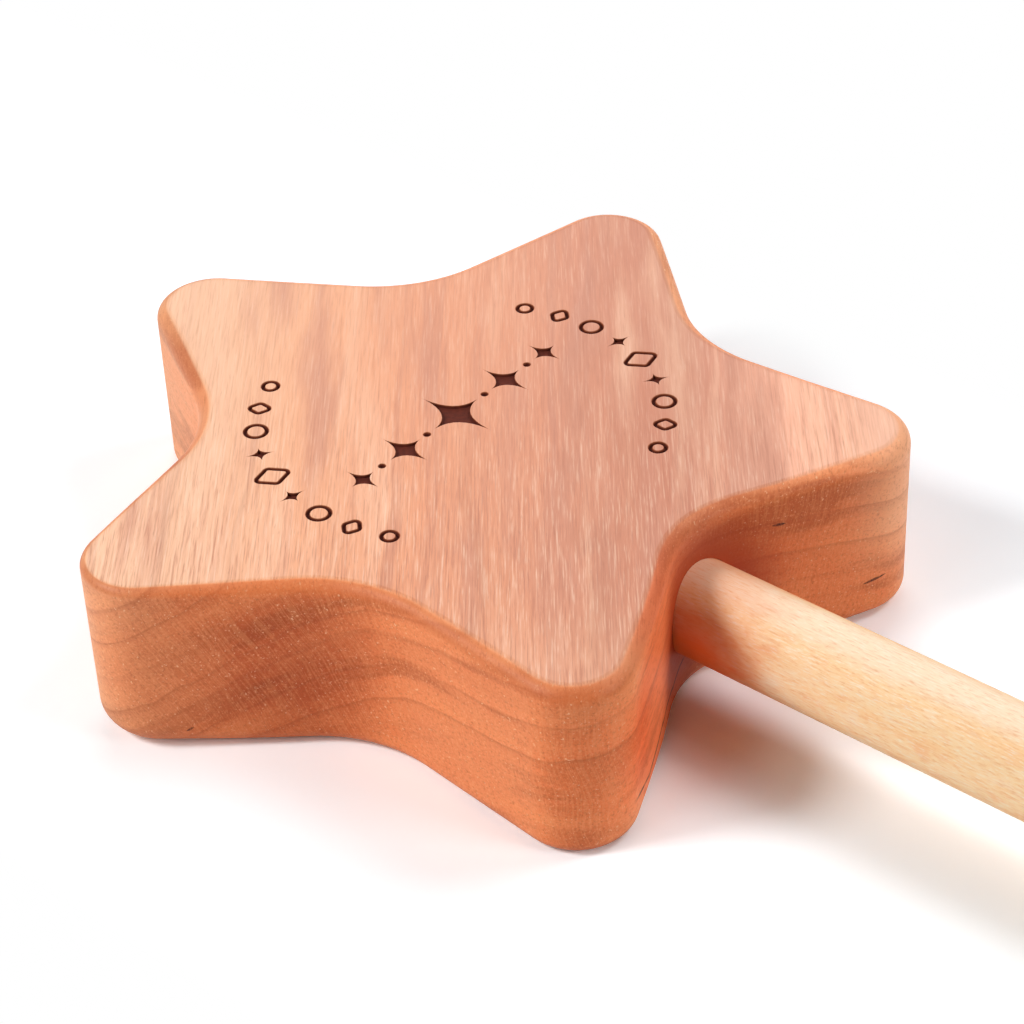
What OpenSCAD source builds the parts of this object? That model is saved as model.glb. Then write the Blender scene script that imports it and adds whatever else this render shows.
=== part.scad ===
// Wooden toy wand: a star sawn from one cherry board, glued onto a maple dowel.
// The wand lies on its back. The origin is the star's centre on the underside,
// +Z is up through the board, and the dowel runs along -Y.

/* [Star head] */
// Centre of the star to the end of a point
star_reach = 41.6; // [39:0.2:48]
// Centre of the star to the floor of a valley between two points
star_valley = 27.4; // [24:0.2:29]
// Radius of a rounded point
tip_r = 5.8; // [4:0.2:7]
// Radius of a valley
valley_r = 14.5; // [11:0.5:17]
// Thickness of the board
board_t = 19; // [16:0.5:26]
// Round-over along the top and bottom edges
edge_r = 1.6; // [0.8:0.1:2.5]

/* [Handle] */
// Diameter of the dowel
dowel_d = 9.5; // [8:0.1:12]
// Length of the dowel, from its glued end to its grip end
dowel_l = 228; // [160:1:240]
// Rounding of the grip end
grip_end_r = 2.5; // [1:0.1:3.5]
// Chamfer on the glued end
lead_chamfer = 1; // [0.5:0.1:1.5]

/* [Glue joint] */
// Depth of the blind bore below the valley floor
bore_depth = 25; // [18:0.5:28]
// Point angle of the drill that made the bore
drill_angle = 118; // [90:1:135]
// Thickness of the glue film round the dowel
glue_t = 0.1; // [0.05:0.01:0.2]
// Distance from the valley floor down to the edge of the glue
glue_set_back = 1.5; // [0.5:0.1:3]

/* [Hidden] */
$fn = 96;

star_points = 5;
half_pitch = 180 / star_points;

// Centres of a point's arc and of a valley's arc, from the star's centre
tip_c = star_reach - tip_r;
valley_c = star_valley + valley_r;

// The straight flank crosses both arcs just short of being tangent to them,
// and its edge is rounded a little more than a point's and less than a valley's
cut_share = 0.003;
flank_cut = cut_share * edge_r;
edge_step = 2 * flank_cut;
arc_gap = norm([valley_c * cos(half_pitch) - tip_c, valley_c * sin(half_pitch)]);
arc_dir = atan2(valley_c * sin(half_pitch), valley_c * cos(half_pitch) - tip_c);
arc_sum = tip_r + valley_r - 2 * flank_cut;
flank_dir = arc_dir - acos(arc_sum / arc_gap);
flank_l = sqrt(pow(arc_gap, 2) - pow(arc_sum, 2));
// The flank's inner end runs on into the valley's arc, past where they cross
flank_lap = 2 * sqrt(2 * (valley_r + edge_r) * (flank_cut + edge_step));

// The rim is as deep as a point's arc, and the core reaches half way into it
rim_w = tip_r;
core_inset = rim_w / 2;
// The edges are rounded on a thicker blank, and both faces are then skimmed flat
face_skim = 2 * flank_cut;
blank_t = board_t + 2 * face_skim;

// The dowel and the bore share one axis, half way up the board
axis_z = board_t / 2;
bore_end = star_valley - bore_depth;
bore_d = dowel_d + 2 * glue_t;
drill_point = bore_d / 2 / tan(drill_angle / 2);
dowel_end = bore_end + glue_t;
overrun = 1;

// Edge of the blank in section, from x = wall to x = back, with the wall's edges rounded to r
module edge_section(wall, back, r) {
    arc_x = wall + sign(back - wall) * r;
    for (z = [r, blank_t - r])
        translate([arc_x, z])
            circle(r = r);
    translate([min(wall, back), r])
        square([abs(back - wall), blank_t - 2 * r]);
    translate([min(arc_x, back), 0])
        square([abs(back - arc_x), blank_t]);
}

// Round end of a point
module tip_rim() {
    translate([tip_c, 0, 0])
        rotate_extrude()
            edge_section(tip_r, 0, edge_r - edge_step);
}

// Straight flank between a point and the valley that follows it
module flank_rim() {
    translate([tip_c, 0, 0])
        rotate(flank_dir)
            translate([tip_r - flank_cut, flank_l + flank_lap, 0])
                rotate([90, 0, 0])
                    linear_extrude(flank_l + flank_lap)
                        edge_section(0, -rim_w, edge_r);
}

// Hollow curve of a valley
module valley_rim() {
    rotate(half_pitch)
        translate([valley_c, 0, 0])
            rotate(180 - (flank_dir - half_pitch))
                rotate_extrude(angle = 2 * (flank_dir - half_pitch))
                    edge_section(valley_r, valley_r + rim_w, edge_r + edge_step);
}

// Middle of the blank, inside the rim
module core() {
    tip_pt = [tip_c, 0] + (tip_r - core_inset) * [cos(flank_dir), sin(flank_dir)];
    valley_pt = valley_c * [cos(half_pitch), sin(half_pitch)];
    valley_dirs = [for (i = [1 : -0.5 : -1]) half_pitch + i * (flank_dir - half_pitch)];
    valley_arc = [for (a = valley_dirs) valley_pt - (valley_r + core_inset) * [cos(a), sin(a)]];
    sector = concat([[tip_pt.x, -tip_pt.y], tip_pt], valley_arc);
    turns = [for (k = [0 : star_points - 1]) 2 * half_pitch * k];
    linear_extrude(blank_t)
        polygon([for (t = turns) for (p = sector)
            [p.x * cos(t) - p.y * sin(t), p.x * sin(t) + p.y * cos(t)]]);
}

// Star blank with every edge rounded over, one point towards +Y
module star_blank() {
    rotate(90) {
        core();
        for (k = [0 : star_points - 1])
            rotate(2 * half_pitch * k) {
                tip_rim();
                flank_rim();
                mirror([0, 1, 0])
                    flank_rim();
                valley_rim();
            }
    }
}

// The blank between its two skimmed faces
module star_board() {
    intersection() {
        translate([0, 0, -face_skim])
            star_blank();
        cylinder(r = star_reach + overrun, h = board_t);
    }
}

// Places a shape that is made along +Z on the handle's axis, pointing to -Y
module on_axis(start) {
    translate([0, -start, axis_z])
        rotate([90, 0, 0])
            children();
}

// Blind bore with a drill point, open past the ends of the points
module bore() {
    on_axis(bore_end) {
        cylinder(d = bore_d, h = star_reach - bore_end + overrun);
        mirror([0, 0, 1])
            cylinder(d1 = bore_d, d2 = 0, h = drill_point);
    }
}

// Dowel in section: x is the radius, y runs from the glued end to the grip end
module dowel_section() {
    dowel_r = dowel_d / 2;
    polygon([[0, 0], [dowel_r - lead_chamfer, 0], [dowel_r, lead_chamfer],
        [dowel_r, dowel_l - grip_end_r], [dowel_r - grip_end_r, dowel_l - grip_end_r],
        [dowel_r - grip_end_r, dowel_l], [0, dowel_l]]);
    intersection() {
        translate([dowel_r - grip_end_r, dowel_l - grip_end_r])
            circle(r = grip_end_r);
        translate([dowel_r - grip_end_r, dowel_l - grip_end_r])
            square(grip_end_r);
    }
}

module dowel_solid() {
    on_axis(dowel_end)
        rotate_extrude()
            dowel_section();
}

module star_head() {
    color("#d8946a")
        difference() {
            star_board();
            bore();
        }
}

module handle_dowel() {
    color("#f3d3a4")
        dowel_solid();
}

// Cup of cured glue between the dowel and the bore
module glue_film() {
    color("#e8d9a8")
        difference() {
            on_axis(bore_end)
                cylinder(d = bore_d, h = bore_depth - glue_set_back);
            dowel_solid();
        }
}

star_head();
handle_dowel();
glue_film();
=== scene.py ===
import math

import bpy
from mathutils import Matrix, Vector, noise


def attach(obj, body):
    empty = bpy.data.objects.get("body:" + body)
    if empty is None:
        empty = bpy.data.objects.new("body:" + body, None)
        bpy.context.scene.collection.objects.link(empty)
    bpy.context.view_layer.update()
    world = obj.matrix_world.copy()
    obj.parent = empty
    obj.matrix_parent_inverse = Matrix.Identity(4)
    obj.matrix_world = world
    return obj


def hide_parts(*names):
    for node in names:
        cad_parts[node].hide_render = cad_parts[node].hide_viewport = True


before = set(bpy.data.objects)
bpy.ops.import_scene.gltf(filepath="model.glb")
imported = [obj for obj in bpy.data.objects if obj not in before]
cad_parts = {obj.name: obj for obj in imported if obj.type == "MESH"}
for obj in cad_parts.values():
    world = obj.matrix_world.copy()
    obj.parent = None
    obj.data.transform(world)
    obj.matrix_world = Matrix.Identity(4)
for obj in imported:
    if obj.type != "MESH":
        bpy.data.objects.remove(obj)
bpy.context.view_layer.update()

# Sizes in metres, the same as the solids
MM = 0.001
POINTS = 5
REACH = 41.6 * MM
VALLEY = 27.4 * MM
TIP_R = 5.8 * MM
VALLEY_R = 14.5 * MM
BOARD_T = 19 * MM
EDGE_R = 1.6 * MM
DOWEL_R = 4.75 * MM
DOWEL_L = 228 * MM
GRIP_R = 2.5 * MM
LEAD = 1 * MM
BORE_DEPTH = 25 * MM
DRILL_ANGLE = math.radians(118)
GLUE_T = 0.1 * MM

# Sizes that follow from them
HALF = math.pi / POINTS
AXIS_Z = BOARD_T / 2
BORE_R = DOWEL_R + GLUE_T
BORE_END = VALLEY - BORE_DEPTH
DRILL_POINT = BORE_R / math.tan(DRILL_ANGLE / 2)
DOWEL_END = BORE_END + GLUE_T

# Hand fitting: the valley is sawn deeper at the handle, and its lip closes round the dowel
DEEPER = 1.1 * MM
LIP_DEPTH = 0.5 * MM
LIP_TAPER = 0.5 * MM
LIP_GAP = 0.02 * MM
LIP_R = DOWEL_R + LIP_GAP
LIP_START = VALLEY - DEEPER - LIP_DEPTH

# Fineness and shading of the meshes
SEGMENTS = 96
SHARP = math.radians(35)


# Mesh helpers

def new_object(name, verts, faces, materials):
    mesh = bpy.data.meshes.new(name)
    mesh.from_pydata([tuple(v) for v in verts], [], faces)
    mesh.validate()
    for m in materials:
        mesh.materials.append(m)
    obj = bpy.data.objects.new(name, mesh)
    bpy.context.scene.collection.objects.link(obj)
    return obj


def strip(a, b, n):
    """Quads between two closed loops of n points, given the first index of each."""
    return [(a + i, a + (i + 1) % n, b + (i + 1) % n, b + i) for i in range(n)]


def bridge(verts, loops):
    """Adds closed loops of equal length to verts. Returns the quads between them and their first indices."""
    starts = []
    for loop in loops:
        starts.append(len(verts))
        verts.extend(loop)
    faces = []
    for a, b in zip(starts, starts[1:]):
        faces += strip(a, b, len(loops[0]))
    return faces, starts


def cap(start, n, up):
    return [start + i for i in (range(n) if up else reversed(range(n)))]


def direction(degrees):
    """A level direction, turned this far from +X."""
    a = math.radians(degrees)
    return Vector((math.cos(a), math.sin(a), 0))


# The star's outline

TIP_C = REACH - TIP_R
VALLEY_C = VALLEY + VALLEY_R
TO_VALLEY_X = VALLEY_C * math.cos(HALF) - TIP_C
TO_VALLEY_Y = VALLEY_C * math.sin(HALF)
CENTRES_APART = math.hypot(TO_VALLEY_X, TO_VALLEY_Y)
FLANK = math.atan2(TO_VALLEY_Y, TO_VALLEY_X) - math.acos((TIP_R + VALLEY_R) / CENTRES_APART)
TIP_STEPS = 40
FLANK_STEPS = 4
VALLEY_STEPS = 28


def flank_points(start, end, a):
    return [(start.lerp(end, i / FLANK_STEPS), a) for i in range(1, FLANK_STEPS)]


def star_outline():
    """Points of the wall and their outward normals, counter-clockwise, with a point of the star at +Y."""
    tip = []
    for i in range(TIP_STEPS):
        a = FLANK * (2 * i / (TIP_STEPS - 1) - 1)
        tip.append((Vector((TIP_C + TIP_R * math.cos(a), TIP_R * math.sin(a), 0)), a))
    valley = []
    middle = Vector((VALLEY_C * math.cos(HALF), VALLEY_C * math.sin(HALF), 0))
    for i in range(VALLEY_STEPS):
        a = FLANK + (2 * HALF - 2 * FLANK) * i / (VALLEY_STEPS - 1)
        valley.append((middle - VALLEY_R * Vector((math.cos(a), math.sin(a), 0)), a))
    next_tip = Matrix.Rotation(2 * HALF, 3, "Z") @ tip[0][0]
    inward = flank_points(tip[-1][0], valley[0][0], FLANK)
    outward = flank_points(valley[-1][0], next_tip, 2 * HALF - FLANK)
    points = []
    for k in range(POINTS):
        turn = math.pi / 2 + 2 * HALF * k
        spin = Matrix.Rotation(turn, 3, "Z")
        for p, a in tip + inward + valley + outward:
            points.append((spin @ p, Vector((math.cos(a + turn), math.sin(a + turn), 0))))
    return points


OUTLINE = star_outline()

# Section of the round-over in degrees, closer together where it meets the face and the wall
ROUND_STEPS = (0, 1.5, 4, 8, 14, 21, 29, 37, 45, 53, 61, 69, 76, 82, 86, 88.5, 90)

# Hand sanding: the share by which the round-over varies, how fast it does so, and a shift between both rims
UNEVEN = 0.16
UNEVEN_PER_M = 70
RIM_SHIFT = 9

# The left point is rounder below and crisper above
LEFT_POINT = direction(90 + 360 / POINTS)
LEFT_FOCUS = 24
LEFT_BELOW = 0.9
LEFT_ABOVE = -0.5

# The valley that takes the handle
HANDLE_SIDE = Vector((0, -1, 0))
HANDLE_FOCUS = 30


def towards(p, way, focus):
    """One where p lies in this direction from the star's centre, falling off to both sides."""
    return max(0, p.normalized().dot(way)) ** focus


def star_loops():
    """Loops of the board from its underside to its upper face, with edges that were sanded by hand."""
    profile = [(-1, 90 - step) for step in ROUND_STEPS] + [(1, step) for step in ROUND_STEPS]
    loops = []
    for side, degrees in profile:
        a = math.radians(degrees)
        loop = []
        for p, normal in OUTLINE:
            r = EDGE_R * (1 + UNEVEN * noise.noise(p * UNEVEN_PER_M + Vector((0, 0, RIM_SHIFT * side))))
            r *= 1 + (LEFT_BELOW if side < 0 else LEFT_ABOVE) * towards(p, LEFT_POINT, LEFT_FOCUS)
            inset = r * (1 - math.cos(a)) + DEEPER * towards(p, HANDLE_SIDE, HANDLE_FOCUS)
            z = r * (1 - math.sin(a))
            q = p - normal * inset
            loop.append(Vector((q.x, q.y, BOARD_T - z if side > 0 else z)))
        loops.append(loop)
    return loops


# Motifs burnt into the upper face, in millimetres about their own centre

def arc(cx, cy, r, a0, a1, n):
    """Points on an arc and their outward normals, angles in degrees."""
    out = []
    for i in range(n):
        a = math.radians(a0 + (a1 - a0) * i / (n - 1))
        d = Vector((math.cos(a), math.sin(a)))
        out.append((Vector((cx, cy)) + d * r, d))
    return out


def ring_curve(size, n=32):
    return arc(0, 0, size / 2, 0, 360, n + 1)[:-1]


def lozenge_curve(size, slim=0.72, corner=0.42, n=7):
    """A lozenge with rounded corners."""
    long = size / 2
    wide = slim * size / 2
    lean = math.atan2(long, wide)
    tall = long - corner / math.cos(lean)
    broad = wide - corner / math.sin(lean)
    turn = 90 - math.degrees(lean)
    return (arc(broad, 0, corner, -turn, turn, n)
            + arc(0, tall, corner, turn, 180 - turn, n)
            + arc(-broad, 0, corner, 180 - turn, 180 + turn, n)
            + arc(0, -tall, corner, 180 + turn, 360 - turn, n))


def sparkle_curve(size, slim=0.72, n=14, pinch=4.0, growth=2.4):
    """A sparkle with four points, which grows away from its centre."""
    out = []
    for i in range(4 * n):
        t = math.pi / 2 * i / n
        c = math.cos(t)
        s = math.sin(t)
        x = slim * size / 2 * math.copysign(abs(c) ** pinch, c)
        y = size / 2 * math.copysign(abs(s) ** pinch, s)
        p = Vector((x, y))
        out.append((p, p * (growth / size)))
    return out


# Height over the upper face, and how far the cut reaches to each side there
CUT = [(0.03, 0.14), (-0.03, 0.03), (-0.12, -0.01), (-0.34, -0.07)]

# The row across the middle: places and sizes of its sparkles, and the dots between them
ROW_Y = 2.6
ROW_SPARKLES = ((-13.4, 4.4), (-7.4, 6.2), (0, 9.2), (7.4, 6.2), (13.4, 4.4))
ROW_DOTS = (-10.7, -4.25, 4.25, 10.7)
DOT_SIZE = 0.7
DOT_STEPS = 16

# The arc to each side: its shapes and sizes up to the middle one, and where they lie, with angles in degrees
ARC_HALF = [(ring_curve, 1.5), (lozenge_curve, 2.5), (ring_curve, 2.1), (sparkle_curve, 3.0)]
ARC_MIDDLE = [(lozenge_curve, 3.8)]
ARC_STARTS = (112, 292)
ARC_STEP = 11.2
ARC_R = 19.8
ARC_Y = 2
LINE_W = 0.36


def motif_cutter(verts, faces, curve, place, turn=0, line=None):
    """Adds the solid that burns one motif: a groove along the curve, or its whole area if line is None."""
    spin = Matrix.Rotation(turn, 2)
    n = len(curve)

    def loop(offset, z):
        points = [spin @ (c + d * offset) for c, d in curve]
        return [Vector(((place[0] + p.x) * MM, (place[1] + p.y) * MM, BOARD_T + z * MM)) for p in points]

    if line is None:
        quads, starts = bridge(verts, [loop(reach, z) for z, reach in reversed(CUT)])
        faces += quads + [cap(starts[0], n, False), cap(starts[-1], n, True)]
    else:
        outer = [loop(line / 2 + reach, z) for z, reach in reversed(CUT)]
        inner = [loop(-line / 2 - reach, z) for z, reach in CUT]
        quads, starts = bridge(verts, outer + inner)
        faces += quads + strip(starts[-1], starts[0], n)


def decoration():
    """A row of sparkles across the middle, and an arc of small shapes on each side of it."""
    verts = []
    faces = []
    for x, size in ROW_SPARKLES:
        motif_cutter(verts, faces, sparkle_curve(size), (x, ROW_Y))
    for x in ROW_DOTS:
        motif_cutter(verts, faces, ring_curve(DOT_SIZE, DOT_STEPS), (x, ROW_Y))
    for start in ARC_STARTS:
        for i, (shape, size) in enumerate(ARC_HALF + ARC_MIDDLE + ARC_HALF[::-1]):
            a = math.radians(start + ARC_STEP * i)
            place = (ARC_R * math.cos(a), ARC_Y + ARC_R * math.sin(a))
            line = None if shape is sparkle_curve else LINE_W
            motif_cutter(verts, faces, shape(size), place, a - math.pi / 2, line)
    return verts, faces


# Material helpers

X = (1, 0, 0)
Y = (0, 1, 0)
Z = (0, 0, 1)


def srgb(r, g, b):
    def lin(c):
        c /= 255
        return c / 12.92 if c <= 0.04045 else ((c + 0.055) / 1.055) ** 2.4
    return lin(r), lin(g), lin(b), 1


def grey(v):
    return v, v, v, 1


class Graph:
    """A node material, built from sockets."""

    def __init__(self, name):
        self.mat = bpy.data.materials.new(name)
        self.mat.use_nodes = True
        self.tree = self.mat.node_tree
        self.tree.nodes.clear()
        self.out = self.tree.nodes.new("ShaderNodeOutputMaterial")

    def put(self, socket, value):
        if isinstance(value, bpy.types.NodeSocket):
            self.tree.links.new(value, socket)
        else:
            socket.default_value = value

    def add(self, kind, props=None, **inputs):
        node = self.tree.nodes.new(kind)
        for k, v in (props or {}).items():
            setattr(node, k, v)
        for k, v in inputs.items():
            self.put(node.inputs[k.replace("_", " ")], v)
        return node

    def math(self, op, a, b=None, clamp=False):
        node = self.add("ShaderNodeMath", {"operation": op, "use_clamp": clamp})
        self.put(node.inputs[0], a)
        if b is not None:
            self.put(node.inputs[1], b)
        return node.outputs[0]

    def plus(self, a, b):
        return self.math("ADD", a, b)

    def minus(self, a, b):
        return self.math("SUBTRACT", a, b)

    def times(self, first, *others):
        for other in others:
            first = self.math("MULTIPLY", first, other)
        return first

    def vmath(self, op, a, b=None, scale=None):
        node = self.add("ShaderNodeVectorMath", {"operation": op})
        self.put(node.inputs[0], a)
        if b is not None:
            self.put(node.inputs[1], b)
        if scale is not None:
            self.put(node.inputs["Scale"], scale)
        return node.outputs["Value" if op in ("DOT_PRODUCT", "LENGTH", "DISTANCE") else "Vector"]

    def dot(self, a, b):
        return self.vmath("DOT_PRODUCT", a, b)

    def xyz(self, x, y, z):
        return self.add("ShaderNodeCombineXYZ", X=x, Y=y, Z=z).outputs[0]

    def place(self, scale=1 / MM):
        """Where a point of the piece lies, in millimetres unless another scale is given."""
        return self.vmath("SCALE", self.add("ShaderNodeTexCoord").outputs["Object"], scale=scale)

    def noise(self, vector, detail=2.0, rough=0.5, scale=1.0):
        node = self.add("ShaderNodeTexNoise", Vector=vector, Scale=scale, Detail=detail, Roughness=rough)
        return node.outputs[0]

    def grain(self, at, scales, detail=2.0, rough=0.5):
        """Noise that is stretched by a scale of its own along each of three coordinates."""
        return self.noise(self.xyz(*(self.times(a, s) for a, s in zip(at, scales))), detail, rough)

    def remap(self, value, a, b, to_a=0.0, to_b=1.0, smooth=True):
        node = self.add("ShaderNodeMapRange", {"interpolation_type": "SMOOTHSTEP" if smooth else "LINEAR"},
                        Value=value, From_Min=a, From_Max=b, To_Min=to_a, To_Max=to_b)
        return node.outputs[0]

    def ramp(self, fac, stops):
        node = self.add("ShaderNodeValToRGB", Fac=fac)
        elements = node.color_ramp.elements
        while len(elements) < len(stops):
            elements.new(0.5)
        for e, (pos, colour) in zip(elements, stops):
            e.position = pos
            e.color = colour
        return node.outputs[0]

    def mix(self, fac, a, b, blend="MIX"):
        node = self.add("ShaderNodeMix", {"data_type": "RGBA", "blend_type": blend})
        self.put(node.inputs[0], fac)
        self.put(node.inputs[6], a)
        self.put(node.inputs[7], b)
        return node.outputs[2]

    def tint(self, colour, *steps, by=None):
        """Mixes tones in. A step has what it follows, where it starts and is full, its share and its tone."""
        for source, start, full, share, tone in steps:
            amount = self.remap(source, start, full, 0, share)
            if by is not None:
                amount = self.times(amount, by)
            colour = self.mix(amount, colour, tone)
        return colour

    def mark(self, pos, a, b, radius):
        """One on the line from a to b, fading to the sides over the radius, which tapers to both ends."""
        run = Vector(b) - Vector(a)
        rel = self.vmath("SUBTRACT", pos, a)
        share = self.math("DIVIDE", self.dot(rel, run.normalized()), run.length, clamp=True)
        off = self.vmath("LENGTH", self.vmath("SUBTRACT", rel, self.vmath("SCALE", run, scale=share)))
        taper = self.times(share, self.minus(1, share))
        width = self.plus(self.times(taper, 4 * radius), 0.02)
        return self.remap(self.math("DIVIDE", off, width), 1.0, 0.4)

    def wood(self, colour, rough, gloss, height, strength, distance):
        """Finishes the material of a wooden surface with a fine relief."""
        bump = self.add("ShaderNodeBump", Strength=strength, Distance=distance, Height=height)
        shader = self.add("ShaderNodeBsdfPrincipled", Base_Color=colour, Roughness=rough,
                          Specular_IOR_Level=gloss, Normal=bump.outputs[0])
        return self.finish(shader.outputs[0])

    def finish(self, shader):
        self.tree.links.new(shader, self.out.inputs["Surface"])
        return self.mat


# Cherry board, in millimetres

# Growth rings lie round a pith below the board, and fibres run along the grain, in degrees from +X
GRAIN = 40
ALONG = direction(GRAIN)
ACROSS = direction(GRAIN + 90)
PITH_ACROSS = -20
PITH_HEIGHT = -71
PITH_AWAY = 80
RING_W = 3.3
TOP = BOARD_T / MM
MIDDLE = TOP / 2

# Tones across the upper face, whose paleness is partly painted sheen, and of the edge from along the fibres
# to across them
FACE_HALF = 36
FACE_TONES = [(0.0, srgb(246, 178, 142)), (0.10, srgb(246, 174, 140)), (0.22, srgb(196, 117, 84)),
              (0.36, srgb(212, 134, 98)), (0.58, srgb(230, 150, 107)), (0.72, srgb(238, 166, 122)),
              (0.88, srgb(240, 182, 143)), (1.0, srgb(252, 196, 158))]
EDGE_TONES = [(0.0, srgb(254, 176, 126)), (0.35, srgb(250, 158, 106)), (0.7, srgb(240, 139, 87)),
              (0.86, srgb(241, 134, 80)), (1.0, srgb(218, 112, 62))]

# The photograph's fibres are fainter on the far side, which lies this way
FAR_SIDE = (0.74, 0.67, 0)

# Patches of the edge, painted light and shade: two brighter ones with their tones, darker shade on a flank by
# a valley, and red bounce light and shade beside and round the handle
PAINTED_LIGHT_PATCHES = (((-36, 7, MIDDLE), srgb(228, 128, 78)), ((-21.5, -34.5, MIDDLE), srgb(252, 128, 68)))
VALLEY_SHADE_PLACE = (-29.5, -2, MIDDLE)
VALLEY_SHADE_TINT = (0.76, 0.56, 0.5, 1)
BOUNCE_PLACE = (-9, -31, MIDDLE)
BOUNCE_TINT = (0.98, 0.6, 0.48, 1)
HANDLE_PLACE = (0, -27, MIDDLE)

# Gum flecks on the edge: both ends and the radius of each
GUM_FLECKS = (
    ((8.15, -29.22, 15.1), (9.41, -29.88, 15.0), 0.2),
    ((17.1, -33.6, 4.5), (19.7, -34.6, 4.85), 0.2),
    ((-36.6, 5.2, 2.3), (-36.1, 4.6, 2.8), 0.14),
)

# A hairline check low on the wall beside the handle: its height along a span in x, as shares of a full height
CHECK_SPAN = (-20, 0)
CHECK_FULL = 10
CHECK_PATH = [(0.05, grey(0.33)), (0.25, grey(0.23)), (0.5, grey(0.33)), (0.63, grey(0.36)),
              (0.77, grey(0.31)), (0.9, grey(0.43))]

# Where the check fades: off its path, at both of its ends in x, and in y away from that wall
CHECK_FADE = (0.22, 0.06)
CHECK_LEFT = (-20, -18)
CHECK_RIGHT = (-1.5, -2.2)
CHECK_WALL = (-25.4, -25.6)

# Paler sapwood at one side of the board, across the grain
SAPWOOD = (-34, -41)

# Gloss, and the strength and height of the fine relief
FACE_GLOSS = 0.45
EDGE_GLOSS = 0.2
CHERRY_RELIEF = (0.3, 0.04 * MM)


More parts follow.
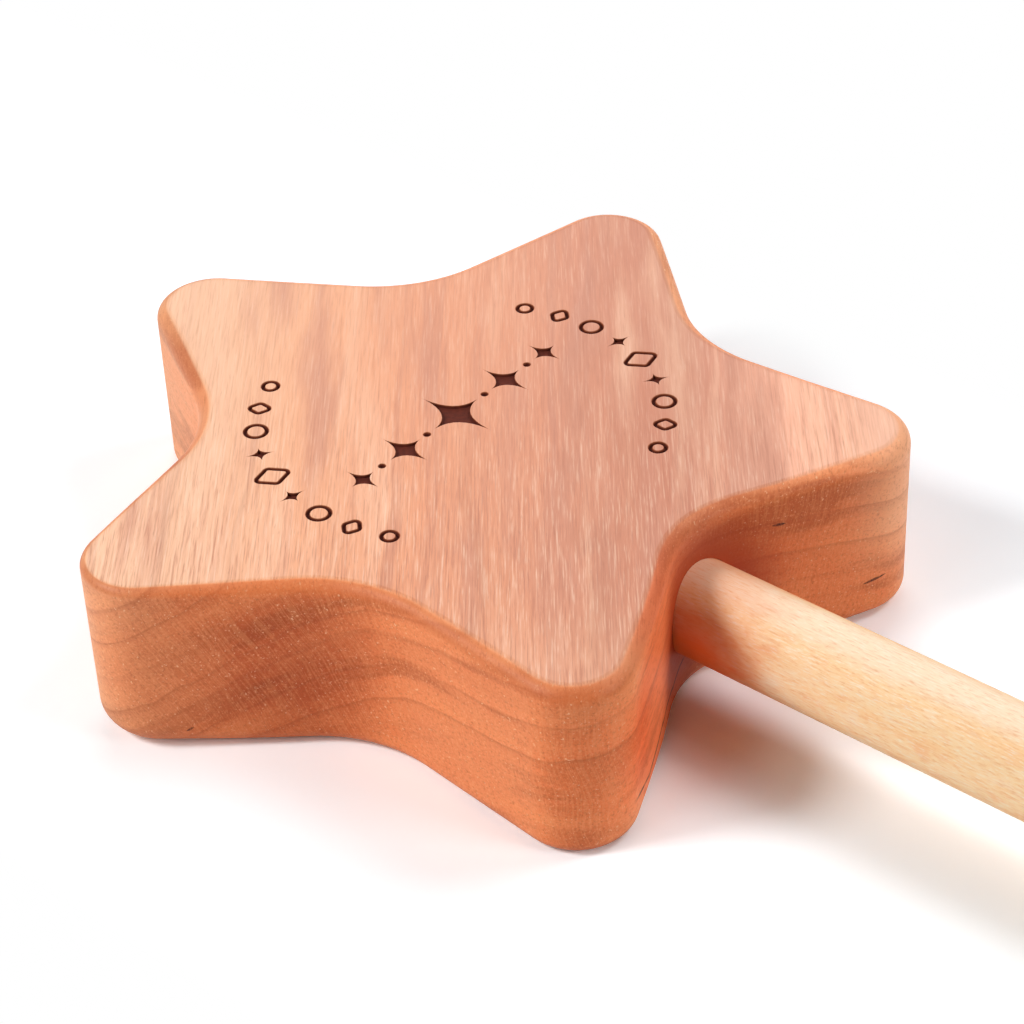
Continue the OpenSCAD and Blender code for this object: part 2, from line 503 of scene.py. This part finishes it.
class Cherry(Graph):
    """The star's wood, which is solid: its coordinates, rings and fibres, and the colours made of them."""

    def __init__(self, name):
        super().__init__(name)
        self.pos = self.place()
        self.along = self.dot(self.pos, ALONG)
        self.across = self.dot(self.pos, ACROSS)
        self.height = self.dot(self.pos, Z)
        self.straight = (self.along, self.across, self.height)
        self.fibre = self.grain(self.straight, (0.14, 3.8, 3.8), 4, 0.62)
        self.hair = self.grain(self.straight, (0.26, 6.4, 6.4), 2, 0.6)
        self.lay_rings()
        self.sap = self.remap(self.bent[1], *SAPWOOD)

    def lay_rings(self):
        """Rings that wander along and across the board, with uneven widths and strengths."""
        drift = self.grain(self.straight, (0.016, 0.05, 0.05))
        ripple = self.grain(self.straight, (0.05, 0.22, 0.22))
        shift = self.plus(self.times(self.minus(drift, 0.5), 5.0), self.times(self.minus(ripple, 0.5), 1.2))
        bent_across = self.plus(self.across, shift)
        bent_height = self.plus(self.height, self.times(shift, 0.45))
        self.bent = (self.along, bent_across, bent_height)
        aside = self.minus(bent_across, PITH_ACROSS)
        above = self.minus(bent_height, PITH_HEIGHT)
        self.radius = self.vmath("LENGTH", self.xyz(aside, above, 0))
        self.around = self.times(self.math("ARCTAN2", aside, above), PITH_AWAY)
        self.polar = (self.around, self.radius, self.along)
        uneven = self.noise(self.xyz(self.times(self.radius, 0.31), 0.0, 5.3), 1)
        phase = self.math("DIVIDE", self.plus(self.radius, self.times(uneven, 5.0)), RING_W)
        ring = self.math("FRACT", phase)
        number = self.math("FLOOR", phase)
        chance = self.noise(self.xyz(self.times(number, 7.31), self.times(self.along, 0.012), 3.7), 0)
        strength = self.remap(chance, 0.36, 0.7)
        broken = self.remap(self.grain(self.polar, (0.35, 3.0, 0.12)), 0.34, 0.6, 0.3, 1.0)
        line = self.ramp(ring, [(0.0, grey(0.25)), (0.05, grey(0.0)), (0.78, grey(0.0)), (0.95, grey(1.0)),
                                (1.0, grey(0.5))])
        late = self.ramp(ring, [(0.02, grey(0.0)), (0.5, grey(0.1)), (0.92, grey(0.8)), (1.0, grey(0.0))])
        self.line = self.times(line, strength, broken)
        self.late = self.times(late, strength)

    def near(self, place, start, full, share):
        """A patch that starts at one distance from its place and reaches its share at another."""
        return self.remap(self.vmath("DISTANCE", self.pos, place), start, full, 0, share)

    def face_colour(self):
        """Tan, peach and pink-brown across the grain, in soft blotches with short fibres."""
        blotch = self.grain(self.bent, (0.022, 0.17, 0.15), 3, 0.55)
        band = self.grain(self.bent, (0.012, 0.55, 0.4), 3, 0.6)
        dash = self.grain((self.along, self.around, self.radius), (0.7, 7.0, 0.3))
        # The pale face tones are partly painted sheen
        face = self.ramp(self.remap(self.bent[1], -FACE_HALF, FACE_HALF, 0, 1, False), FACE_TONES)
        face = self.tint(face, (blotch, 0.50, 0.30, 0.68, srgb(198, 128, 100)),
                         (blotch, 0.50, 0.72, 0.5, srgb(250, 192, 156)),
                         (band, 0.48, 0.28, 0.55, srgb(196, 124, 94)),
                         (band, 0.52, 0.72, 0.3, srgb(252, 200, 166)),
                         (self.along, -24, -40, 0.3, srgb(252, 190, 152)))
        bold = self.remap(self.dot(self.pos, FAR_SIDE), -24, 14, 0.57, 0.24)
        face = self.tint(face, (self.fibre, 0.49, 0.27, 1.0, srgb(180, 106, 76)),
                         (self.fibre, 0.53, 0.76, 0.75, srgb(255, 212, 182)),
                         (self.hair, 0.49, 0.28, 1.0, srgb(180, 106, 76)),
                         (self.hair, 0.53, 0.74, 0.75, srgb(255, 218, 190)),
                         (dash, 0.62, 0.76, 0.4, srgb(150, 84, 60)), by=bold)
        face = self.mix(self.times(self.line, 0.22), face, srgb(150, 88, 58))
        face = self.mix(self.times(self.late, 0.12), face, srgb(184, 116, 82))
        return self.mix(self.times(self.sap, 0.5), face, srgb(255, 200, 168))

    def edge_colour(self, normal, grit, rays):
        """The sawn edge: orange and red-brown bands that follow the rings, with rays, grit and pores."""
        end = self.math("ABSOLUTE", self.dot(normal, ALONG))
        patch = self.grain(self.polar, (0.06, 0.27, 0.03), 3, 0.55)
        edge = self.tint(self.ramp(end, EDGE_TONES), (patch, 0.50, 0.32, 0.6, srgb(172, 78, 36)),
                         (patch, 0.50, 0.68, 0.5, srgb(250, 148, 90)))
        pale = self.times(self.sap, self.remap(self.height, 3, 12, 0.0, 0.8))
        edge = self.mix(pale, edge, srgb(255, 186, 142))
        # Paler and less orange towards +across, where the edge faces the key lamp: painted highlight
        edge = self.tint(edge, (self.bent[1], 24, 36, 0.4, srgb(228, 172, 128)))
        # Two brighter patches: painted light
        for place, tone in PAINTED_LIGHT_PATCHES:
            edge = self.mix(self.near(place, 9, 4, 0.5), edge, tone)
        # A darker patch on the flank by the valley: painted shade
        edge = self.mix(self.near(VALLEY_SHADE_PLACE, 12, 3, 0.75), edge, VALLEY_SHADE_TINT, "MULTIPLY")
        edge = self.tint(edge, (self.fibre, 0.50, 0.28, 0.38, srgb(158, 72, 40)),
                         (self.fibre, 0.52, 0.76, 0.36, srgb(255, 178, 124)),
                         (grit, 0.46, 0.28, 0.15, srgb(168, 78, 44)),
                         (grit, 0.56, 0.74, 0.36, srgb(255, 190, 138)))
        ray_line = self.times(self.remap(rays, 0.46, 0.62), self.remap(end, 0.15, 0.9))
        edge = self.mix(self.times(ray_line, 0.2), edge, srgb(250, 168, 112))
        edge = self.mix(self.times(self.late, 0.26), edge, srgb(176, 80, 42))
        edge = self.mix(self.times(self.line, 0.22), edge, srgb(150, 52, 26))
        pores = self.grain(self.straight, (1.2, 3.4, 3.4), 1)
        return self.tint(edge, (pores, 0.68, 0.78, 0.6, srgb(252, 204, 158)))

    def painted_shade_and_bounce(self, edge, upright):
        """Painted shade on the rounded edges towards -X, painted red bounce light beside the handle, and
        painted shade and bounce in the corner round the handle.
        """
        rim = self.times(self.remap(upright, 0.1, 0.5), self.remap(upright, 0.99, 0.9))
        left = self.remap(self.dot(self.pos, X), 0, -14, 0.0, 0.36)
        edge = self.mix(self.times(rim, left), edge, srgb(188, 88, 44))
        edge = self.mix(self.near(BOUNCE_PLACE, 15, 8, 0.95), edge, BOUNCE_TINT, "MULTIPLY")
        return self.mix(self.near(HANDLE_PLACE, 12, 5, 0.84), edge, srgb(160, 52, 16))

    def flaws(self, edge, grit):
        """Gum flecks, and the hairline check."""
        gum = 0.0
        for start, end, radius in GUM_FLECKS:
            gum = self.math("MAXIMUM", gum, self.mark(self.pos, start, end, radius))
        edge = self.mix(self.times(gum, self.remap(grit, 0.36, 0.56, 0.5, 0.95)), edge, srgb(58, 22, 16))
        x = self.dot(self.pos, X)
        path = self.ramp(self.remap(x, *CHECK_SPAN, 0, 1, False), CHECK_PATH)
        off = self.math("ABSOLUTE", self.minus(self.height, self.times(path, CHECK_FULL)))
        on_wall = self.remap(self.dot(self.pos, Y), *CHECK_WALL)
        both_ends = self.times(self.remap(x, *CHECK_RIGHT), self.remap(x, *CHECK_LEFT))
        broken = self.remap(self.fibre, 0.35, 0.55, 0.35, 1.0)
        check = self.times(self.remap(off, *CHECK_FADE), on_wall, both_ends, broken)
        return self.mix(check, edge, srgb(70, 22, 14))


def cherry(name, gloss):
    """The face where the surface lies level, and the sawn edge where it turns away."""
    g = Cherry(name)
    grit = g.noise(g.vmath("SCALE", g.pos, scale=4.2), 2, 0.6)
    rays = g.grain(g.polar, (9.0, 0.22, 1.2), 1)
    normal = g.add("ShaderNodeNewGeometry").outputs["Normal"]
    upright = g.math("ABSOLUTE", g.dot(normal, Z))
    edge = g.flaws(g.painted_shade_and_bounce(g.edge_colour(normal, grit, rays), upright), grit)
    colour = g.mix(g.remap(upright, 0.995, 0.93), g.face_colour(), edge)
    rough = g.remap(g.fibre, 0.3, 0.7, 0.50, 0.42, False)
    relief = g.plus(g.times(g.fibre, 0.7), g.times(g.plus(rays, g.hair), 0.3))
    return g.wood(colour, rough, gloss, relief, *CHERRY_RELIEF)


def burnt_cherry(name, gloss):
    """The burnt decoration: brown at its rim, and charred where it is deep."""
    g = Cherry(name)
    depth = g.minus(TOP, g.height)
    char = g.noise(g.vmath("SCALE", g.pos, scale=2.3), 3)
    shallow = g.mix(char, srgb(112, 50, 30), srgb(160, 86, 52))
    deep = g.mix(char, srgb(62, 24, 17), srgb(112, 46, 30))
    burn = g.mix(g.remap(depth, 0.05, 0.2), shallow, deep)
    colour = g.mix(g.remap(depth, -0.01, 0.06), g.face_colour(), burn)
    rough = g.remap(depth, 0, 0.1, 0.5, 0.85)
    return g.wood(colour, rough, gloss, char, *CHERRY_RELIEF)


# Maple dowel and glue, in millimetres

MOUTH_Y = -VALLEY / MM
DOWEL_GLOSS = 0.4
DOWEL_RELIEF = (0.35, 0.05 * MM)
DOWEL_TONES = [(0.3, srgb(255, 202, 144)), (0.5, srgb(255, 211, 157)), (0.7, srgb(255, 222, 176))]


def maple():
    """Pale wood, with short flecks along its length and orange clouds."""
    g = Graph("maple")
    pos = g.place()
    at = (g.dot(pos, X), g.dot(pos, Y), g.dot(pos, Z))
    band = g.grain(at, (0.30, 0.02, 0.30), 3, 0.55)
    cloud = g.grain(at, (0.55, 0.28, 0.55), 3, 0.6)
    thread = g.grain(at, (2.6, 0.30, 2.6), 3, 0.6)
    fleck = g.grain(at, (6.4, 0.85, 6.4), 3, 0.65)
    colour = g.ramp(band, DOWEL_TONES)
    colour = g.tint(colour, (cloud, 0.50, 0.72, 0.6, srgb(250, 182, 126)),
                    (cloud, 0.48, 0.26, 0.4, srgb(255, 232, 204)),
                    # Paler along the dowel's top: painted sheen
                    (at[2], 13.2, 14.2, 0.7, srgb(255, 232, 204)),
                    (thread, 0.48, 0.28, 0.3, srgb(232, 160, 106)),
                    (fleck, 0.50, 0.72, 0.6, srgb(255, 242, 222)),
                    (fleck, 0.48, 0.27, 0.5, srgb(232, 156, 100)))
    # Painted shade and red bounce light near the star, mostly on the dowel's lower side, over oil that has
    # crept along the dowel from the star
    near = g.plus(at[1], g.times(g.minus(cloud, 0.5), 6.0))
    oil_and_shade = g.times(g.remap(near, MOUTH_Y - 13, MOUTH_Y - 3), g.remap(at[2], 14, 9, 0.38, 0.95))
    colour = g.mix(oil_and_shade, colour, srgb(229, 110, 42))
    rough = g.remap(fleck, 0.3, 0.7, 0.58, 0.48, False)
    return g.wood(colour, rough, DOWEL_GLOSS, fleck, *DOWEL_RELIEF)


def glue():
    g = Graph("wood_glue")
    cloud = g.noise(g.place(), 3, 0.6, 0.8)
    colour = g.ramp(cloud, [(0.3, srgb(214, 190, 130)), (0.7, srgb(238, 222, 176))])
    rough = g.remap(cloud, 0.3, 0.7, 0.4, 0.6, False)
    shader = g.add("ShaderNodeBsdfPrincipled", Base_Color=colour, Roughness=rough)
    return g.finish(shader.outputs[0])


# Round shapes on the handle's axis

# The dowel is out of round by this share of its radius, which varies round and along it
WEAR = 0.006
WEAR_AROUND = 0.9
WEAR_PER_M = 60
WEAR_SHIFT = 4


def handle_loop(radius, away, wear=0):
    """A loop round the handle's axis, this far from the star's centre, with wear as a share of the radius."""
    loop = []
    for i in range(SEGMENTS):
        a = 2 * math.pi * i / SEGMENTS
        d = Vector((math.cos(a), 0, math.sin(a)))
        spot = d * WEAR_AROUND + Vector((0, (away - DOWEL_END) * WEAR_PER_M, WEAR_SHIFT))
        r = radius * (1 - wear * (0.5 + 0.5 * noise.noise(spot)))
        loop.append(Vector((r * d.x, -away, AXIS_Z + r * d.z)))
    return loop


# Star head

# Places in the star's list of materials
EDGE_SLOT = 0
BURNT_SLOT = 1
FACE_SLOT = 2

# A face counts as level from this height of its normal on
LEVEL = 0.9999

# How far the drill runs past the reach of the star's points
OVERRUN = 2 * MM


def subtract(obj, cutter):
    mod = obj.modifiers.new("cut", "BOOLEAN")
    mod.operation = "DIFFERENCE"
    mod.solver = "EXACT"
    mod.object = cutter
    dg = bpy.context.evaluated_depsgraph_get()
    mesh = bpy.data.meshes.new_from_object(obj.evaluated_get(dg))
    obj.modifiers.remove(mod)
    old = obj.data
    obj.data = mesh
    bpy.data.meshes.remove(old)
    bpy.data.objects.remove(cutter)


def make_burner(materials):
    """The solid that burns the decoration."""
    verts, faces = decoration()
    burner = new_object("burner", verts, faces, materials)
    for p in burner.data.polygons:
        p.material_index = BURNT_SLOT
    return burner


def make_drill(materials):
    """The solid that bores the star, with a drill point and the narrower lip."""
    profile = [(BORE_R, BORE_END), (BORE_R, LIP_START - LIP_TAPER)]
    profile += [(LIP_R, LIP_START), (LIP_R, REACH + OVERRUN)]
    verts = []
    faces, starts = bridge(verts, [handle_loop(r, away) for r, away in profile])
    first = starts[0]
    tip = len(verts)
    verts.append(Vector((0, DRILL_POINT - BORE_END, AXIS_Z)))
    faces += [(first + (i + 1) % SEGMENTS, first + i, tip) for i in range(SEGMENTS)]
    faces.append(cap(starts[-1], SEGMENTS, True))
    return new_object("drill", verts, faces, materials)


def make_star():
    face = cherry("cherry_face", FACE_GLOSS)
    edge = cherry("cherry_edge", EDGE_GLOSS)
    burnt = burnt_cherry("cherry_burnt", EDGE_GLOSS)
    verts = []
    loops = star_loops()
    faces, starts = bridge(verts, loops)
    n = len(loops[0])
    faces += [cap(starts[0], n, False), cap(starts[-1], n, True)]
    star = new_object("star", verts, faces, (edge, burnt, face))
    subtract(star, make_burner((edge, burnt)))
    subtract(star, make_drill((edge,)))
    star.data.set_sharp_from_angle(angle=SHARP)
    for p in star.data.polygons:
        level = abs(p.normal.z) > LEVEL
        p.use_smooth = not level and p.material_index == EDGE_SLOT
        if level and p.material_index == EDGE_SLOT:
            p.material_index = FACE_SLOT
    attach(star, "root")
    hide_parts("star_head")


# Dowel

BODY_STEPS = 76
GRIP_STEPS = 12


def make_dowel():
    straight = DOWEL_L - GRIP_R - LEAD
    profile = [(DOWEL_R - LEAD, 0), (DOWEL_R, LEAD)]
    profile += [(DOWEL_R, LEAD + straight * i / BODY_STEPS) for i in range(1, BODY_STEPS)]
    for i in range(GRIP_STEPS + 1):
        a = math.pi / 2 * i / GRIP_STEPS
        profile.append((DOWEL_R - GRIP_R * (1 - math.cos(a)), DOWEL_L - GRIP_R * (1 - math.sin(a))))
    verts = []
    faces, starts = bridge(verts, [handle_loop(r, DOWEL_END + along, WEAR) for r, along in profile])
    faces += [cap(starts[0], SEGMENTS, False), cap(starts[-1], SEGMENTS, True)]
    dowel = new_object("dowel", verts, faces, (maple(),))
    dowel.data.set_sharp_from_angle(angle=SHARP)
    for p in dowel.data.polygons:
        p.use_smooth = len(p.vertices) == 4
    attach(dowel, "root")
    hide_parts("handle_dowel")


make_star()
make_dowel()
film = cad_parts["glue_film"]
film.data.materials.clear()
film.data.materials.append(glue())


# Floor, light and camera

# How much brighter the camera sees the floor than the light that it throws back
SEEN_FLOOR = 1.31
FLOOR_SIZE = 3.0
PAPER = [(0.3, (0.87, 0.90, 0.93, 1)), (0.7, (0.90, 0.93, 0.96, 1))]
PAPER_SCALE = 900

# The floor fades to white between two distances from the wand's middle, and between two to each side
WAND_MIDDLE = (0, -95 * MM, 0)
FADE_AROUND = (0.15, 0.27)
FADE_ASIDE = (0.038, 0.058)

AMBIENT = 0.04

# Each lamp: azimuth and elevation in degrees, distance in metres, share of white on the floor, size, colour
PLAIN = (0.99, 1.0, 0.99)
COOL = (0.985, 0.99, 1.0)
LAMPS = (
    ("key", 146, 45, 0.5, 0.37, 0.14, PLAIN),
    ("fill", 325, 52, 0.5, 0.23, 0.2, COOL),
    ("back", 37, 34, 0.7, 0.2, 0.6, COOL),
    ("left_card", 166, 30, 0.6, 0.13, 0.34, PLAIN),
    ("right_card", 286, 27, 0.6, 0.13, 0.24, PLAIN),
)

# The photograph's camera: its turn, rise and roll in radians, where it aims, how far off it is, and its lens
CAMERA_TURN = math.radians(-48.39)
CAMERA_RISE = 0.6438
CAMERA_ROLL = -0.0456
CAMERA_AIM = Vector((0.66 * MM, -3.47 * MM, AXIS_Z))
CAMERA_AWAY = 285.65 * MM
SENSOR = 36
LENS = 102.74


def make_floor():
    g = Graph("floor")
    ray = g.add("ShaderNodeLightPath").outputs["Is Camera Ray"]
    pos = g.place(1)
    dull = g.ramp(g.noise(pos, 4, 0.6, PAPER_SCALE), PAPER)
    bright = g.vmath("SCALE", dull, scale=g.remap(ray, 0, 1, 1, SEEN_FLOOR, False))
    near = g.add("ShaderNodeBsdfDiffuse", Color=bright)
    # Far from the wand, where the lamps fade, the camera sees plain white; to both sides of it, painted light
    # whitens the floor over the object's shadow
    around = g.remap(g.vmath("DISTANCE", pos, WAND_MIDDLE), *FADE_AROUND)
    aside = g.remap(g.math("ABSOLUTE", g.dot(pos, X)), *FADE_ASIDE)
    far = g.math("MAXIMUM", around, aside)
    white = g.add("ShaderNodeEmission", Color=grey(1.0), Strength=1.0)
    shader = g.add("ShaderNodeMixShader", Fac=g.times(far, ray))
    g.tree.links.new(near.outputs[0], shader.inputs[1])
    g.tree.links.new(white.outputs[0], shader.inputs[2])
    corners = [(FLOOR_SIZE * x, FLOOR_SIZE * y, 0) for x, y in ((-1, -1), (1, -1), (1, 1), (-1, 1))]
    floor = new_object("floor", corners, [(0, 1, 2, 3)], (g.finish(shader.outputs[0]),))


def make_world():
    """White where the camera, a reflection or a clear material sees it, and a faint light elsewhere."""
    world = bpy.data.worlds.new("studio")
    bpy.context.scene.world = world
    world.use_nodes = True
    tree = world.node_tree
    tree.nodes.clear()
    out = tree.nodes.new("ShaderNodeOutputWorld")
    back = tree.nodes.new("ShaderNodeBackground")
    back.inputs["Color"].default_value = grey(1.0)
    path = tree.nodes.new("ShaderNodeLightPath")
    seen = path.outputs["Is Camera Ray"]
    for kind in ("Is Glossy Ray", "Is Transmission Ray"):
        either = tree.nodes.new("ShaderNodeMath")
        either.operation = "MAXIMUM"
        tree.links.new(seen, either.inputs[0])
        tree.links.new(path.outputs[kind], either.inputs[1])
        seen = either.outputs[0]
    level = tree.nodes.new("ShaderNodeMapRange")
    tree.links.new(seen, level.inputs["Value"])
    level.inputs["To Min"].default_value = AMBIENT
    level.inputs["To Max"].default_value = 1.0
    tree.links.new(level.outputs[0], back.inputs["Strength"])
    tree.links.new(back.outputs[0], out.inputs["Surface"])


def make_lamp(name, azimuth, elevation, distance, share, size, colour):
    """A round lamp aimed at the star, which adds this share of white to a white floor there."""
    rise = math.radians(elevation)
    to_lamp = direction(azimuth) * math.cos(rise) + Vector((0, 0, math.sin(rise)))
    lamp = bpy.data.lights.new(name, "AREA")
    lamp.shape = "DISK"
    lamp.size = size
    lamp.energy = share * (math.pi * distance) ** 2 / math.sin(rise)
    lamp.color = colour
    obj = bpy.data.objects.new(name, lamp)
    obj.location = to_lamp * distance
    obj.rotation_mode = "QUATERNION"
    obj.rotation_quaternion = to_lamp.to_track_quat("Z", "Y")
    obj.visible_camera = False
    bpy.context.scene.collection.objects.link(obj)


def make_camera():
    level = math.cos(CAMERA_RISE)
    back = Vector((math.sin(CAMERA_TURN) * level, -math.cos(CAMERA_TURN) * level, math.sin(CAMERA_RISE)))
    right = Vector((0, 0, 1)).cross(back).normalized()
    up = back.cross(right)
    x = right * math.cos(CAMERA_ROLL) + up * math.sin(CAMERA_ROLL)
    y = up * math.cos(CAMERA_ROLL) - right * math.sin(CAMERA_ROLL)
    data = bpy.data.cameras.new("camera")
    data.sensor_fit = "HORIZONTAL"
    data.sensor_width = SENSOR
    data.lens = LENS
    data.clip_start = 0.01
    data.clip_end = 20
    camera = bpy.data.objects.new("camera", data)
    matrix = Matrix((x, y, back)).transposed().to_4x4()
    matrix.translation = CAMERA_AIM + back * CAMERA_AWAY
    camera.matrix_world = matrix
    bpy.context.scene.collection.objects.link(camera)
    bpy.context.scene.camera = camera


make_floor()
make_world()
for lamp_values in LAMPS:
    make_lamp(*lamp_values)
make_camera()
bpy.context.scene.view_settings.view_transform = "Standard"
